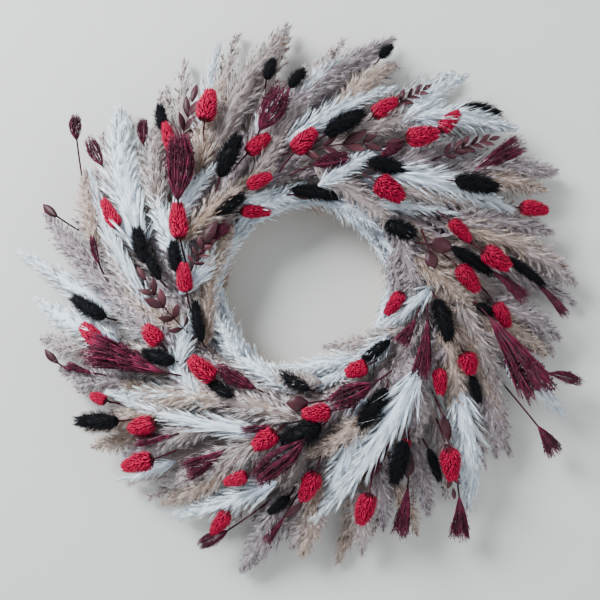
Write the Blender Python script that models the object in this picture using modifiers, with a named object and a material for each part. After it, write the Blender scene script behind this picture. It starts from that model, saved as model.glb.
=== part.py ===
"""Harvest door wreath: a bound straw ring dressed with dried grasses, heads and leaves.

The wreath lies on its flat back. +Z points out of its face, +Y is the top when it hangs
and +X is to the right. The plants are closed solids of each piece's outer size, in layers
that follow a low dome: long outer plumes whose stems the wire binds to the ring, shorter
plumes above them, a row along the inner edge, and heads, tails, brooms and sprigs on top.
Every piece leans clockwise from its root. Angles are in degrees, counter-clockwise from +X.
"""

import math

import bmesh
import bpy
from mathutils import Matrix, Vector

MM = 0.001
NAME = "harvest_door_wreath"

# Straw ring: a half-round roll on a flat back
RING_INNER_RADIUS = 80 * MM
RING_WIDTH = 45 * MM
RING_HEIGHT = 40 * MM
RING_EDGE_HEIGHT = 7 * MM
RING_STEPS = 72
SECTION_STEPS = 8
MERGE_DISTANCE = 0.1 * MM

# Binding wire: one spiral that crosses an outer plume's stem on each turn
WIRE_DIAMETER = 1.2 * MM
WIRE_CLEARANCE = 0.5 * MM
STEM_CLEARANCE = 1.3 * MM
BACK_CLEARANCE = 0.3 * MM
SLOT_CLEARANCE = 0.6 * MM
SLOT_OVERRUN = 6 * MM

# Hanging eye: a bent wire seated in its own slot behind the top of the ring
EYE_WIRE_DIAMETER = 2.4 * MM
EYE_INNER_DIAMETER = 18 * MM
EYE_LEAD = 4 * MM
EYE_TAIL_HEIGHT = 12 * MM
EYE_ANGLE = 90
EYE_SWEEP = 335
EYE_STEPS = 24

# Plumes
WREATH_RADIUS = 245 * MM
LAYER_GAP = 0.8 * MM
STEM_WIDTH = 3 * MM
BUTT_LENGTH = 7 * MM
OUTER_WIDTH = 25 * MM
MIDDLE_WIDTH = 21 * MM
INNER_WIDTH = 18 * MM
TIP_DROP = 28 * MM
DROP_POWER = 1.2
MIDDLE_CLIMB = 42 * MM
TOP_CLIMB = 22 * MM
BOW = 0.07
PLUME_POINTS = 8
FLUFF_START = 0.22
FLUFF_LEAN = 0.8
FLUFF_ROUNDNESS = 0.8
TIP_THICKENING = 0.4
INNER_ROUNDNESS = 0.7
INNER_COUNT = 7
INNER_START = 107
INNER_SWEEP = 38

# Outer plumes: tip angle, tip reach and colour. A reach of 0 is the ring's crest, 1 the rim
OUTER_FIRST_ANCHOR = 13
OUTER_PLUMES = [
    (346, 0.95, "natural"),
    (357, 1.05, "natural"),
    (373, 0.91, "natural"),
    (385, 1.07, "natural"),
    (399, 0.96, "white"),
    (416, 0.97, "white"),
    (431, 0.98, "natural"),
    (454, 0.99, "natural"),
    (470, 0.96, "white"),
    (496, 0.93, "white"),
    (511, 0.85, "natural"),
    (533, 1.16, "white"),
    (551, 1.00, "natural"),
    (573, 0.98, "natural"),
    (588, 0.99, "natural"),
    (602, 0.97, "white"),
    (618, 1.17, "natural"),
    (637, 1.09, "natural"),
    (667, 1.04, "white"),
    (681, 1.01, "natural"),
]

# Middle plumes: tip angle, tip reach and colour
MIDDLE_FIRST_ANCHOR = 41
MIDDLE_PLUMES = [
    (352, 0.40, "natural"),
    (381, 0.63, "white"),
    (414, 0.61, "natural"),
    (451, 0.53, "natural"),
    (505, 0.46, "white"),
    (540, 0.50, "natural"),
    (568, 0.68, "white"),
    (596, 0.78, "natural"),
    (633, 0.73, "white"),
    (666, 0.44, "natural"),
    (686, 0.76, "natural"),
]

# Top pieces: length and width of the part above its bare stem
TOP_STEM_WIDTH = 2.4 * MM
TOP_SIZES = {
    "black_bunny_tail": (40 * MM, 15 * MM),
    "red_phalaris_head": (30 * MM, 17 * MM),
    "burgundy_broom": (60 * MM, 22 * MM),
    "leaf_sprig": (64 * MM, 16 * MM),
}
TOP_COLOURS = {
    "black_bunny_tail": "black",
    "red_phalaris_head": "red",
    "burgundy_broom": "burgundy",
    "leaf_sprig": "leaf",
}
TOP_POINTS = 9
FAN_NECK = 0.15
FAN_RIM = 0.75
HEAD_ROUNDNESS = 0.6

# Top pieces: kind, tip angle, tip reach and root angle on the crest
TOP_PIECES = [
    ("black_bunny_tail", -21, 0.22, 14),
    ("burgundy_broom", -24, 0.88, 30),
    ("red_phalaris_head", 5, 0.55, 52),
    ("black_bunny_tail", 27, 0.63, 68),
    ("red_phalaris_head", 49, 0.54, 86),
    ("black_bunny_tail", 71, 0.42, 105),
    ("burgundy_broom", 96, 0.50, 128),
    ("black_bunny_tail", 113, 0.30, 146),
    ("red_phalaris_head", 115, 0.64, 160),
    ("burgundy_broom", 130, 0.47, 178),
    ("leaf_sprig", 176, 0.27, 216),
    ("burgundy_broom", 195, 0.65, 238),
    ("black_bunny_tail", 210, 0.94, 252),
    ("red_phalaris_head", 224, 0.88, 266),
    ("burgundy_broom", 255, 0.47, 290),
    ("red_phalaris_head", 283, 0.79, 314),
    ("black_bunny_tail", 294, 0.61, 336),
    ("red_phalaris_head", 307, 0.79, 350),
]

# Worked out from the sizes above
RING_OUTER_RADIUS = RING_INNER_RADIUS + RING_WIDTH
CREST_RADIUS = RING_INNER_RADIUS + RING_WIDTH / 2
STEM_HEIGHT = RING_HEIGHT + LAYER_GAP + STEM_WIDTH / 2
WIRE_OFFSET = WIRE_CLEARANCE + WIRE_DIAMETER / 2
WIRE_BACK_HEIGHT = BACK_CLEARANCE + WIRE_DIAMETER / 2
WIRE_CREST_HEIGHT = STEM_HEIGHT + STEM_WIDTH / 2 + STEM_CLEARANCE + WIRE_DIAMETER / 2
MIDDLE_STEM_HEIGHT = WIRE_CREST_HEIGHT + (WIRE_DIAMETER + STEM_WIDTH) / 2 + LAYER_GAP
TOP_STEM_HEIGHT = MIDDLE_STEM_HEIGHT + (STEM_WIDTH + TOP_STEM_WIDTH) / 2 + LAYER_GAP
TOP_THICKNESS = max(width for length, width in TOP_SIZES.values())
TURN_PITCH = 360 / len(OUTER_PLUMES)
EYE_BACK_HEIGHT = BACK_CLEARANCE + EYE_WIRE_DIAMETER / 2

COLOURS = {
    "straw": ((0.52, 0.36, 0.16), 0.9, 0.0),
    "binding_wire": ((0.10, 0.14, 0.08), 0.5, 0.6),
    "eye_wire": ((0.45, 0.45, 0.46), 0.35, 1.0),
    "white": ((0.78, 0.80, 0.82), 0.9, 0.0),
    "natural": ((0.43, 0.35, 0.31), 0.9, 0.0),
    "black": ((0.012, 0.012, 0.018), 0.95, 0.0),
    "red": ((0.60, 0.02, 0.045), 0.7, 0.0),
    "burgundy": ((0.14, 0.012, 0.03), 0.8, 0.0),
    "leaf": ((0.09, 0.03, 0.035), 0.6, 0.0),
}


def clear_scene():
    for thing in list(bpy.data.objects):
        bpy.data.objects.remove(thing, do_unlink=True)


def make_collection(name):
    group = bpy.data.collections.new(name)
    bpy.context.scene.collection.children.link(group)
    return group


def make_material(name):
    colour, roughness, metallic = COLOURS[name]
    material = bpy.data.materials.new(name)
    material.use_nodes = True
    shader = material.node_tree.nodes["Principled BSDF"]
    shader.inputs["Base Color"].default_value = (*colour, 1.0)
    shader.inputs["Roughness"].default_value = roughness
    shader.inputs["Metallic"].default_value = metallic
    return material


def polar(angle, radius, height=0.0):
    turn = math.radians(angle)
    return Vector((radius * math.cos(turn), radius * math.sin(turn), height))


def reach_radius(reach):
    return CREST_RADIUS + reach * (WREATH_RADIUS - CREST_RADIUS)


def outer_height(radius):
    """Height of the outer plumes' axes, which droop from the crest to the rim."""
    share = (radius - CREST_RADIUS) / (WREATH_RADIUS - CREST_RADIUS)
    return STEM_HEIGHT - TIP_DROP * max(share, 0.0) ** DROP_POWER


def climb(radius, stem_height, full_height, length):
    """A smooth rise from the bound stems at the crest to the layer's full height."""
    share = min(max((radius - CREST_RADIUS) / length, 0.0), 1.0)
    return stem_height + (full_height - stem_height) * share * share * (3 - 2 * share)


def middle_full_height(radius):
    return outer_height(radius) + (OUTER_WIDTH + MIDDLE_WIDTH) / 2 + LAYER_GAP


def middle_height(radius):
    return climb(radius, MIDDLE_STEM_HEIGHT, middle_full_height(radius), MIDDLE_CLIMB)


def top_height(radius):
    full = middle_full_height(radius) + (MIDDLE_WIDTH + TOP_THICKNESS) / 2 + LAYER_GAP
    return climb(radius, TOP_STEM_HEIGHT, full, TOP_CLIMB)


def inner_height(radius):
    return WIRE_CREST_HEIGHT + WIRE_DIAMETER / 2 + LAYER_GAP + INNER_WIDTH / 2


class Builder:
    """Adds finished pieces to one collection, each under the wreath's parent empty."""

    def __init__(self):
        self.parts = make_collection(NAME)
        self.tools = make_collection(NAME + "_cutters")
        self.root = bpy.data.objects.new(NAME + "_frame", None)
        self.parts.objects.link(self.root)
        self.materials = {name: make_material(name) for name in COLOURS}

    def add(self, name, data, colour):
        piece = bpy.data.objects.new(name, data)
        self.parts.objects.link(piece)
        piece.parent = self.root
        data.materials.append(self.materials[colour])
        return piece

    def add_cutter(self, name, data):
        cutter = bpy.data.objects.new(name, data)
        self.tools.objects.link(cutter)
        cutter.parent = self.root
        cutter.hide_render = True
        cutter.display_type = "WIRE"
        return cutter


def tube(name, points, widths, resolution=2):
    """A round tube through the points, with its own width at each point."""
    curve = bpy.data.curves.new(name, "CURVE")
    curve.dimensions = "3D"
    curve.bevel_depth = 1.0
    curve.bevel_resolution = resolution
    curve.use_fill_caps = True
    spline = curve.splines.new("POLY")
    spline.points.add(len(points) - 1)
    for target, point, width in zip(spline.points, points, widths):
        target.co = (*point, 1.0)
        target.radius = width / 2
    return curve


def ring_profile():
    """The roll's section at +X: down the outer side, in along the back, up and over."""
    centre = CREST_RADIUS
    half = RING_WIDTH / 2
    rise = RING_HEIGHT - RING_EDGE_HEIGHT
    points = []
    for step in range(SECTION_STEPS + 1):
        turn = math.pi * (1 - step / SECTION_STEPS)
        height = RING_EDGE_HEIGHT + rise * math.sin(turn)
        points.append((centre + half * math.cos(turn), height))
    points.append((RING_OUTER_RADIUS, 0.0))
    points.append((RING_INNER_RADIUS, 0.0))
    return points


def turn_angles():
    """The spiral crosses the face and the back in line with each stem's root."""
    return [OUTER_FIRST_ANCHOR + TURN_PITCH * turn for turn in range(len(OUTER_PLUMES))]


def add_slot(mesh, angle, diameter):
    """A box across the ring's back, deep and wide enough for one wire."""
    depth = BACK_CLEARANCE + diameter + SLOT_CLEARANCE
    size = (RING_WIDTH + 2 * SLOT_OVERRUN, diameter + 2 * SLOT_CLEARANCE, 2 * depth)
    turn = Matrix.Rotation(math.radians(angle), 4, "Z")
    place = Matrix.Translation((CREST_RADIUS, 0.0, 0.0)) @ Matrix.Diagonal((*size, 1.0))
    bmesh.ops.create_cube(mesh, size=1.0, matrix=turn @ place)


def build_ring(builder):
    mesh = bmesh.new()
    corners = [mesh.verts.new((x, 0.0, z)) for x, z in ring_profile()]
    for start, end in zip(corners, corners[1:] + corners[:1]):
        mesh.edges.new((start, end))
    data = bpy.data.meshes.new("straw_ring_base")
    mesh.to_mesh(data)
    mesh.free()
    ring = builder.add("straw_ring_base", data, "straw")
    turn = ring.modifiers.new("turn", "SCREW")
    turn.axis = "Z"
    turn.steps = RING_STEPS
    turn.render_steps = RING_STEPS
    turn.use_merge_vertices = True
    turn.merge_threshold = MERGE_DISTANCE
    slots = bmesh.new()
    for angle in turn_angles():
        add_slot(slots, angle, WIRE_DIAMETER)
    add_slot(slots, EYE_ANGLE, EYE_WIRE_DIAMETER)
    slot_data = bpy.data.meshes.new("wire_slots")
    slots.to_mesh(slot_data)
    slots.free()
    cut = ring.modifiers.new("slots", "BOOLEAN")
    cut.object = builder.add_cutter("wire_slots", slot_data)
    cut.solver = "EXACT"


def build_binding_wire(builder):
    """Each turn climbs the inner side as it moves on, then runs straight out over its
    stem, down the outer side and back in through its slot."""
    rise = WIRE_CREST_HEIGHT - RING_EDGE_HEIGHT
    half = RING_WIDTH / 2 + WIRE_OFFSET
    points = []
    angles = turn_angles()
    for angle in angles:
        for step in range(SECTION_STEPS + 1):
            share = step / SECTION_STEPS
            turn = math.pi * (1 - share)
            radius = CREST_RADIUS + half * math.cos(turn)
            height = RING_EDGE_HEIGHT + rise * math.sin(turn)
            lag = TURN_PITCH * max(1 - 2 * share, 0.0)
            points.append(polar(angle - lag, radius, height))
        points.append(polar(angle, CREST_RADIUS + half, WIRE_BACK_HEIGHT))
        inner = CREST_RADIUS - half
        if angle == angles[-1]:
            inner = RING_INNER_RADIUS + SLOT_OVERRUN
        points.append(polar(angle, inner, WIRE_BACK_HEIGHT))
    widths = [WIRE_DIAMETER] * len(points)
    builder.add("binding_wire", tube("binding_wire", points, widths, 1), "binding_wire")


def build_hanger_eye(builder):
    """A tail up the ring's inner side, a shank through the slot and a round eye."""
    offset = WIRE_CLEARANCE + EYE_WIRE_DIAMETER / 2
    inner = RING_INNER_RADIUS - offset
    loop_radius = (EYE_INNER_DIAMETER + EYE_WIRE_DIAMETER) / 2
    loop_centre = RING_OUTER_RADIUS + EYE_LEAD + loop_radius
    points = [
        polar(EYE_ANGLE, inner, EYE_TAIL_HEIGHT),
        polar(EYE_ANGLE, inner, EYE_BACK_HEIGHT),
        polar(EYE_ANGLE, RING_OUTER_RADIUS + offset, EYE_BACK_HEIGHT),
    ]
    centre = polar(EYE_ANGLE, loop_centre, EYE_BACK_HEIGHT)
    for step in range(EYE_STEPS + 1):
        turn = EYE_ANGLE + 180 + EYE_SWEEP * step / EYE_STEPS
        points.append(centre + polar(turn, loop_radius))
    widths = [EYE_WIRE_DIAMETER] * len(points)
    builder.add("hanger_wire_eye", tube("hanger_wire_eye", points, widths), "eye_wire")


def plume_width(share, width):
    """Bare stem, then a long spindle of fluff that runs out to a soft tip."""
    fluff = max(0.0, (share - FLUFF_START) / (1 - FLUFF_START))
    swell = math.sin(math.pi * fluff ** FLUFF_LEAN) ** FLUFF_ROUNDNESS if fluff < 1.0 else 0.0
    tip = STEM_WIDTH * (1 + TIP_THICKENING * fluff)
    return max(width * swell, tip)


def bowed_path(start, end, shares, layer_height):
    """A shallow bow from start to end, convex outwards, at the layer's height."""
    chord = end - start
    side = Vector((-chord.y, chord.x, 0.0))
    middle = (start + end) / 2 + side * BOW
    points = []
    for share in shares:
        point = start.lerp(middle, share).lerp(middle.lerp(end, share), share)
        radius = math.hypot(point.x, point.y)
        points.append(Vector((point.x, point.y, layer_height(radius))))
    return points


def even_shares(count):
    return [step / (count - 1) for step in range(count)]


def build_plume_layer(builder, layer, plumes, first_anchor, width, layer_height):
    """Roots at an even pitch on the crest. Each stem's butt reaches back past its root."""
    pitch = 360 / len(plumes)
    for number, (tip_angle, tip_reach, colour) in enumerate(plumes):
        root = polar(first_anchor + pitch * number, CREST_RADIUS)
        tip = polar(tip_angle, reach_radius(tip_reach))
        start = root - (tip - root).normalized() * BUTT_LENGTH
        shares = even_shares(PLUME_POINTS)
        points = bowed_path(start, tip, shares, layer_height)
        widths = [plume_width(share, width) for share in shares]
        name = f"{colour}_plume_{layer}_{number + 1:02d}"
        builder.add(name, tube(name, points, widths), colour)


def build_inner_plumes(builder):
    radius = CREST_RADIUS - BUTT_LENGTH - LAYER_GAP - INNER_WIDTH / 2
    for number in range(INNER_COUNT):
        centre = INNER_START + 360 * number / INNER_COUNT
        start = polar(centre + INNER_SWEEP / 2, radius)
        end = polar(centre - INNER_SWEEP / 2, radius)
        colour = "white" if number % 2 == 0 else "natural"
        name = f"{colour}_plume_inner_{number + 1:02d}"
        shares = even_shares(PLUME_POINTS)
        points = bowed_path(start, end, shares, inner_height)
        widths = [inner_plume_width(share) for share in shares]
        builder.add(name, tube(name, points, widths), colour)


def inner_plume_width(share):
    return max(INNER_WIDTH * math.sin(math.pi * share) ** INNER_ROUNDNESS, STEM_WIDTH)


def top_piece_width(kind, share):
    """Width along the part above the stem: a fan for a broom, a spindle for the rest."""
    width = TOP_SIZES[kind][1]
    if kind == "burgundy_broom":
        fan = width * (FAN_NECK + (1 - FAN_NECK) * math.sin(math.pi / 2 * share))
        return fan * (FAN_RIM if share == 1.0 else 1.0)
    return max(width * math.sin(math.pi * share) ** HEAD_ROUNDNESS, TOP_STEM_WIDTH)


def build_top_pieces(builder):
    """Each piece is a bare stem from the crest, then its head laid over the plumes."""
    counts = dict.fromkeys(TOP_SIZES, 0)
    for kind, tip_angle, tip_reach, root_angle in TOP_PIECES:
        root = polar(root_angle, CREST_RADIUS)
        tip = polar(tip_angle, reach_radius(tip_reach))
        start = root - (tip - root).normalized() * BUTT_LENGTH
        base = 1 - TOP_SIZES[kind][0] / (tip - start).length
        stem_shares = [base * share for share in even_shares(TOP_POINTS // 2)]
        head_shares = even_shares(TOP_POINTS)
        shares = stem_shares[:-1] + [base + (1 - base) * share for share in head_shares]
        widths = [TOP_STEM_WIDTH] * (len(stem_shares) - 1)
        widths += [top_piece_width(kind, share) for share in head_shares]
        points = bowed_path(start, tip, shares, top_height)
        counts[kind] += 1
        name = f"{kind}_{counts[kind]:02d}"
        builder.add(name, tube(name, points, widths), TOP_COLOURS[kind])


def centre_on_origin(builder):
    """Shifts the frame so that the wreath's box is centred over the origin."""
    bpy.context.view_layer.update()
    graph = bpy.context.evaluated_depsgraph_get()
    corners = []
    for piece in builder.root.children:
        if piece.hide_render:
            continue
        shape = piece.evaluated_get(graph)
        corners += [piece.matrix_world @ Vector(corner) for corner in shape.bound_box]
    for axis in (0, 1):
        values = [corner[axis] for corner in corners]
        builder.root.location[axis] = -(min(values) + max(values)) / 2
    bpy.context.view_layer.update()
    print("ring centre", [round(value, 5) for value in builder.root.location])


def main():
    clear_scene()
    builder = Builder()
    build_ring(builder)
    build_binding_wire(builder)
    build_hanger_eye(builder)
    build_plume_layer(builder, "outer", OUTER_PLUMES, OUTER_FIRST_ANCHOR, OUTER_WIDTH, outer_height)
    build_plume_layer(builder, "middle", MIDDLE_PLUMES, MIDDLE_FIRST_ANCHOR, MIDDLE_WIDTH, middle_height)
    build_inner_plumes(builder)
    build_top_pieces(builder)
    centre_on_origin(builder)


main()
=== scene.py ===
# %% [markdown]
# # A harvest door wreath
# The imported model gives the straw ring, its wire and eye, and a plain solid for each plant.
# Here every plain solid is exchanged for the real thing: plumes made of fine hairs, fluffy
# tails, scaly seed heads, bundles of thin twigs and pairs of dry leaves. More plants are
# then laid between them until the ring no longer shows.

# %% Load the frame
import math
import random

import bmesh
import bpy
import numpy as np
from mathutils import Matrix, Vector


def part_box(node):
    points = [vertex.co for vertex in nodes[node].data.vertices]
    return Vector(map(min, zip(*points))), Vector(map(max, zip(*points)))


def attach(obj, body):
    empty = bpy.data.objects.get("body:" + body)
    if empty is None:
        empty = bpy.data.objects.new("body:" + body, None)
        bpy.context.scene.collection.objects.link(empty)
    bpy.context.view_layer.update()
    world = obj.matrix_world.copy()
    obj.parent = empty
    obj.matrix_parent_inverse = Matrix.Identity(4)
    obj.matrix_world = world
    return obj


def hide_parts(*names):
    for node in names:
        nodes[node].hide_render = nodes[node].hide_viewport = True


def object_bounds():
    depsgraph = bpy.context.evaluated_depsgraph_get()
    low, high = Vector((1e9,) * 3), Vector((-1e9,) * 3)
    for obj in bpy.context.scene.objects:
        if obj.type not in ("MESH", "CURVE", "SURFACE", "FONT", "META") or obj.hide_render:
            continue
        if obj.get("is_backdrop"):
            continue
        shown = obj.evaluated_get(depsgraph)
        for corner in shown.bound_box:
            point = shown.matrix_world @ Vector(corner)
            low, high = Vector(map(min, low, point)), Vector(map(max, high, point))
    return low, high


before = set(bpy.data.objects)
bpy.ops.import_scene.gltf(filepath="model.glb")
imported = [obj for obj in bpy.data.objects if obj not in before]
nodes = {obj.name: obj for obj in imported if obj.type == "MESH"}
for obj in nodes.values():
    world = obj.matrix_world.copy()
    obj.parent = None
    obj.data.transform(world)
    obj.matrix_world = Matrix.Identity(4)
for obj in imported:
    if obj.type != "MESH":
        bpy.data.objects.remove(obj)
cad_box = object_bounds()
MM = 0.001
ring_low, ring_high = (Vector(corner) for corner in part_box("straw_ring_base"))
RING_CENTRE = (ring_low + ring_high) / 2
RING_CENTRE.z = 0.0
RING_TOP = ring_high.z
RING_OUTER = (ring_high.x - ring_low.x) / 2
print("nodes", len(nodes), "ring centre", [round(v, 4) for v in RING_CENTRE])

# %% [markdown]
# ## Camera, floor and light
# The wreath lies on a table and is looked at from straight above. The camera comes first,
# so that every later step can be judged through it.

# %% Camera, floor and soft studio light
CAMERA_HEIGHT = 0.95
CAMERA_PLACE = (0.0025, -0.0006, CAMERA_HEIGHT)
LENS = 60
DAYLIGHT = (0.90, 0.95, 1.0)
SKY_COLOUR = (0.86, 0.93, 1.0, 1.0)
SKY_STRENGTH = 0.5
FLOOR_SIZE = 6.0
FLOOR_COLOUR = (0.62, 0.60, 0.57, 1.0)
FLOOR_ROUGHNESS = 0.7
camera_data = bpy.data.cameras.new("camera")
camera_data.lens = LENS
camera = bpy.data.objects.new("camera", camera_data)
camera.location = CAMERA_PLACE
bpy.context.scene.collection.objects.link(camera)
bpy.context.scene.camera = camera


def add_area_light(name, place, size, power):
    """A square lamp that points at the middle of the wreath."""
    data = bpy.data.lights.new(name, "AREA")
    data.shape = "SQUARE"
    data.size = size
    data.energy = power
    data.color = DAYLIGHT
    lamp = bpy.data.objects.new(name, data)
    lamp.location = place
    lamp.rotation_euler = (-Vector(place)).to_track_quat("-Z", "Y").to_euler()
    bpy.context.scene.collection.objects.link(lamp)


add_area_light("window", (-1.1, 1.0, 1.3), size=0.8, power=92)
add_area_light("fill", (1.4, 0.2, 1.2), size=1.4, power=12)
add_area_light("back_fill", (0.1, -1.5, 1.0), size=1.4, power=11)
world = bpy.data.worlds.new("studio")
world.use_nodes = True
sky = world.node_tree.nodes["Background"]
sky.inputs["Color"].default_value = SKY_COLOUR
sky.inputs["Strength"].default_value = SKY_STRENGTH
bpy.context.scene.world = world

floor_mesh = bmesh.new()
bmesh.ops.create_grid(floor_mesh, x_segments=1, y_segments=1, size=FLOOR_SIZE / 2)
floor_data = bpy.data.meshes.new("floor")
floor_mesh.to_mesh(floor_data)
floor_mesh.free()
floor = bpy.data.objects.new("floor", floor_data)
bpy.context.scene.collection.objects.link(floor)
floor_material = bpy.data.materials.new("pale_floor")
floor_material.use_nodes = True
floor_shader = floor_material.node_tree.nodes["Principled BSDF"]
floor_shader.inputs["Base Color"].default_value = FLOOR_COLOUR
floor_shader.inputs["Roughness"].default_value = FLOOR_ROUGHNESS
floor_data.materials.append(floor_material)
floor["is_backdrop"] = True
print("camera looks down from", CAMERA_HEIGHT, "m")

# %% [markdown]
# ## One hair
# Every plant here is built from one small form: a closed three-sided blade that tapers to
# a point, with a belly near half way. It has only seven corners, because thousands of it are
# needed. The finest hairs use a plain spike, with four corners and no belly. The texture map
# runs along each blade, so a material can make roots and tips differ, and each copy gets its
# own row of the map, so that no two neighbours match. Solid hairs are used and not Blender's
# hair system, because a model that leaves Blender needs its hairs as mesh.

# %% The blade and its relatives
MAP = "OFBake"
MAP_START = 0.02
MAP_LENGTH = 0.95
MAP_ROWS = 0.96
ROW_HEIGHT = 0.012
ROW_STEP = 0.004
END_WIDTH = 0.01
BELLY_AT = 0.45
ROOT_SIZE = 0.7


def add_length_map(mesh, low, high):
    """Maps each face along +X from low to high, in a narrow row. End faces get a width too."""
    layer = mesh.loops.layers.uv.new(MAP)
    for face in mesh.faces:
        for number, loop in enumerate(face.loops):
            along = (loop.vert.co.x - low) / (high - low)
            across = ROW_HEIGHT if number % 2 else 0.0
            shift = END_WIDTH if number > 1 else 0.0
            loop[layer].uv = (MAP_START + MAP_LENGTH * along + shift, across + ROW_STEP * number)


def to_mesh(mesh, name):
    data = bpy.data.meshes.new(name)
    mesh.to_mesh(data)
    mesh.free()
    return data


def start_cone(sides):
    """A cone from its base at x = 0 to its point at x = 1."""
    mesh = bmesh.new()
    bmesh.ops.create_cone(mesh, cap_ends=True, segments=sides, radius1=1.0, radius2=0.0, depth=1.0)
    bmesh.ops.remove_doubles(mesh, verts=mesh.verts, dist=0.0001)
    bmesh.ops.rotate(mesh, verts=mesh.verts, matrix=Matrix.Rotation(math.pi / 2, 3, "Y"))
    bmesh.ops.translate(mesh, verts=mesh.verts, vec=(0.5, 0.0, 0.0))
    return mesh


def make_blade(name, sides=3, flat=1.0):
    """A blade from x = 0 to 1, 1 wide at its belly and narrower at its root."""
    mesh = start_cone(sides)
    everything = list(mesh.verts) + list(mesh.edges) + list(mesh.faces)
    bmesh.ops.bisect_plane(mesh, geom=everything, plane_co=(BELLY_AT, 0, 0), plane_no=(1, 0, 0))
    for corner in mesh.verts:
        if abs(corner.co.x - BELLY_AT) < 0.01:
            size = 1 / (1 - BELLY_AT)
        else:
            size = ROOT_SIZE
        corner.co.y *= size
        corner.co.z *= size * flat
    bmesh.ops.recalc_face_normals(mesh, faces=mesh.faces)
    add_length_map(mesh, 0.0, 1.0)
    return to_mesh(mesh, name)


def make_spike(name, map_length=1.0):
    """The simplest hair: a three-sided cone, four faces in all."""
    mesh = start_cone(3)
    bmesh.ops.recalc_face_normals(mesh, faces=mesh.faces)
    add_length_map(mesh, 0.0, map_length)
    return to_mesh(mesh, name)


hair = make_blade("hair")
spike = make_spike("spike")
dark_spike = make_spike("dark_spike", map_length=6.0)
scale_leaf = make_blade("scale_leaf", sides=4, flat=0.35)
print("a hair has", len(hair.polygons), "faces, a spike", len(spike.polygons))


# %% Tufts: many blades in one mesh
def aim(start, end, thickness, roll=0.0, wide=1.0):
    """The matrix that lays a blade from start to end."""
    direction = end - start
    turn = direction.to_track_quat("X", "Z").to_matrix().to_4x4()
    size = Matrix.Diagonal((direction.length, thickness * wide, thickness, 1.0))
    return Matrix.Translation(start) @ turn @ Matrix.Rotation(roll, 4, "X") @ size


def make_tuft(name, blades, shape=hair):
    """Copies the shape once for each (matrix, shade) and gives each its own map row."""
    mesh = bmesh.new()
    for matrix, _ in blades:
        copy = shape.copy()
        copy.transform(matrix)
        mesh.from_mesh(copy)
        bpy.data.meshes.remove(copy)
    data = to_mesh(mesh, name)
    rows = np.empty(len(data.loops) * 2, dtype=np.float32)
    data.uv_layers[MAP].data.foreach_get("uv", rows)
    rows = rows.reshape(len(blades), -1, 2)
    rows[:, :, 1] += np.array([[MAP_ROWS * shade] for _, shade in blades])
    data.uv_layers[MAP].data.foreach_set("uv", rows.reshape(-1))
    return data


def join(name, meshes):
    """One mesh from several, which are used up."""
    mesh = bmesh.new()
    for part in meshes:
        mesh.from_mesh(part)
        bpy.data.meshes.remove(part)
    return to_mesh(mesh, name)


# %% [markdown]
# ## Templates
# Each kind of plant is made once or twice along +X at a normal size, and later bent along
# the path of each plant. A plume's hairs leave the stalk at a shallow angle and end on a
# spindle-shaped envelope. Between them sit a lumpy core, which stops one from seeing
# through, a few stray hairs and, on the natural plumes, small dark seeds. The bleached plumes
# are sleeker, with longer hairs and no seeds.

# %% Pampas plumes
GOLDEN_ANGLE = math.pi * (3 - math.sqrt(5))
PLUME_LENGTH = 130 * MM
PLUME_HALF = 12 * MM
STRAY_THICKNESS = 0.15 * MM
CORE_LENGTH = 0.86
CORE_WIDTH = 0.42
CORE_ROUGHNESS = 0.22
PLUME_ROOT = 0.25
PLUME_TIP = 0.16


def plume_envelope(share, fullest):
    """Half width along the plume: narrow at its foot, 1 at its fullest, thin at its tip."""
    if share < fullest:
        return PLUME_ROOT + (1 - PLUME_ROOT) * math.sin(math.pi / 2 * share / fullest)
    fall = (share - fullest) / (1 - fullest)
    return PLUME_TIP + (1 - PLUME_TIP) * math.cos(math.pi / 2 * min(fall, 1.0)) ** 0.75


def make_core(name, length, half, envelope, rings=12, sides=9):
    """The dense middle of a plume: a lumpy spindle, seen only between the hairs."""
    mesh = bmesh.new()
    bmesh.ops.create_uvsphere(mesh, u_segments=sides, v_segments=rings, radius=0.5)
    bmesh.ops.rotate(mesh, verts=mesh.verts, matrix=Matrix.Rotation(math.pi / 2, 3, "Y"))
    for corner in mesh.verts:
        share = corner.co.x + 0.5
        around = Vector((0, corner.co.y, corner.co.z))
        size = half * envelope(share) * random.uniform(1 - CORE_ROUGHNESS, 1 + CORE_ROUGHNESS)
        if around.length > 0.001:  # the poles stay on the axis
            around = around.normalized() * size
        corner.co = Vector((share * length, around.y, around.z))
    bmesh.ops.recalc_face_normals(mesh, faces=mesh.faces)
    # The map covers only the first third of the core, so it takes the dark root colour: partly the plume's
    # own brown centre, partly painted shade between the hairs.
    add_length_map(mesh, 0.0, 3 * length)
    return to_mesh(mesh, name)


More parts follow.
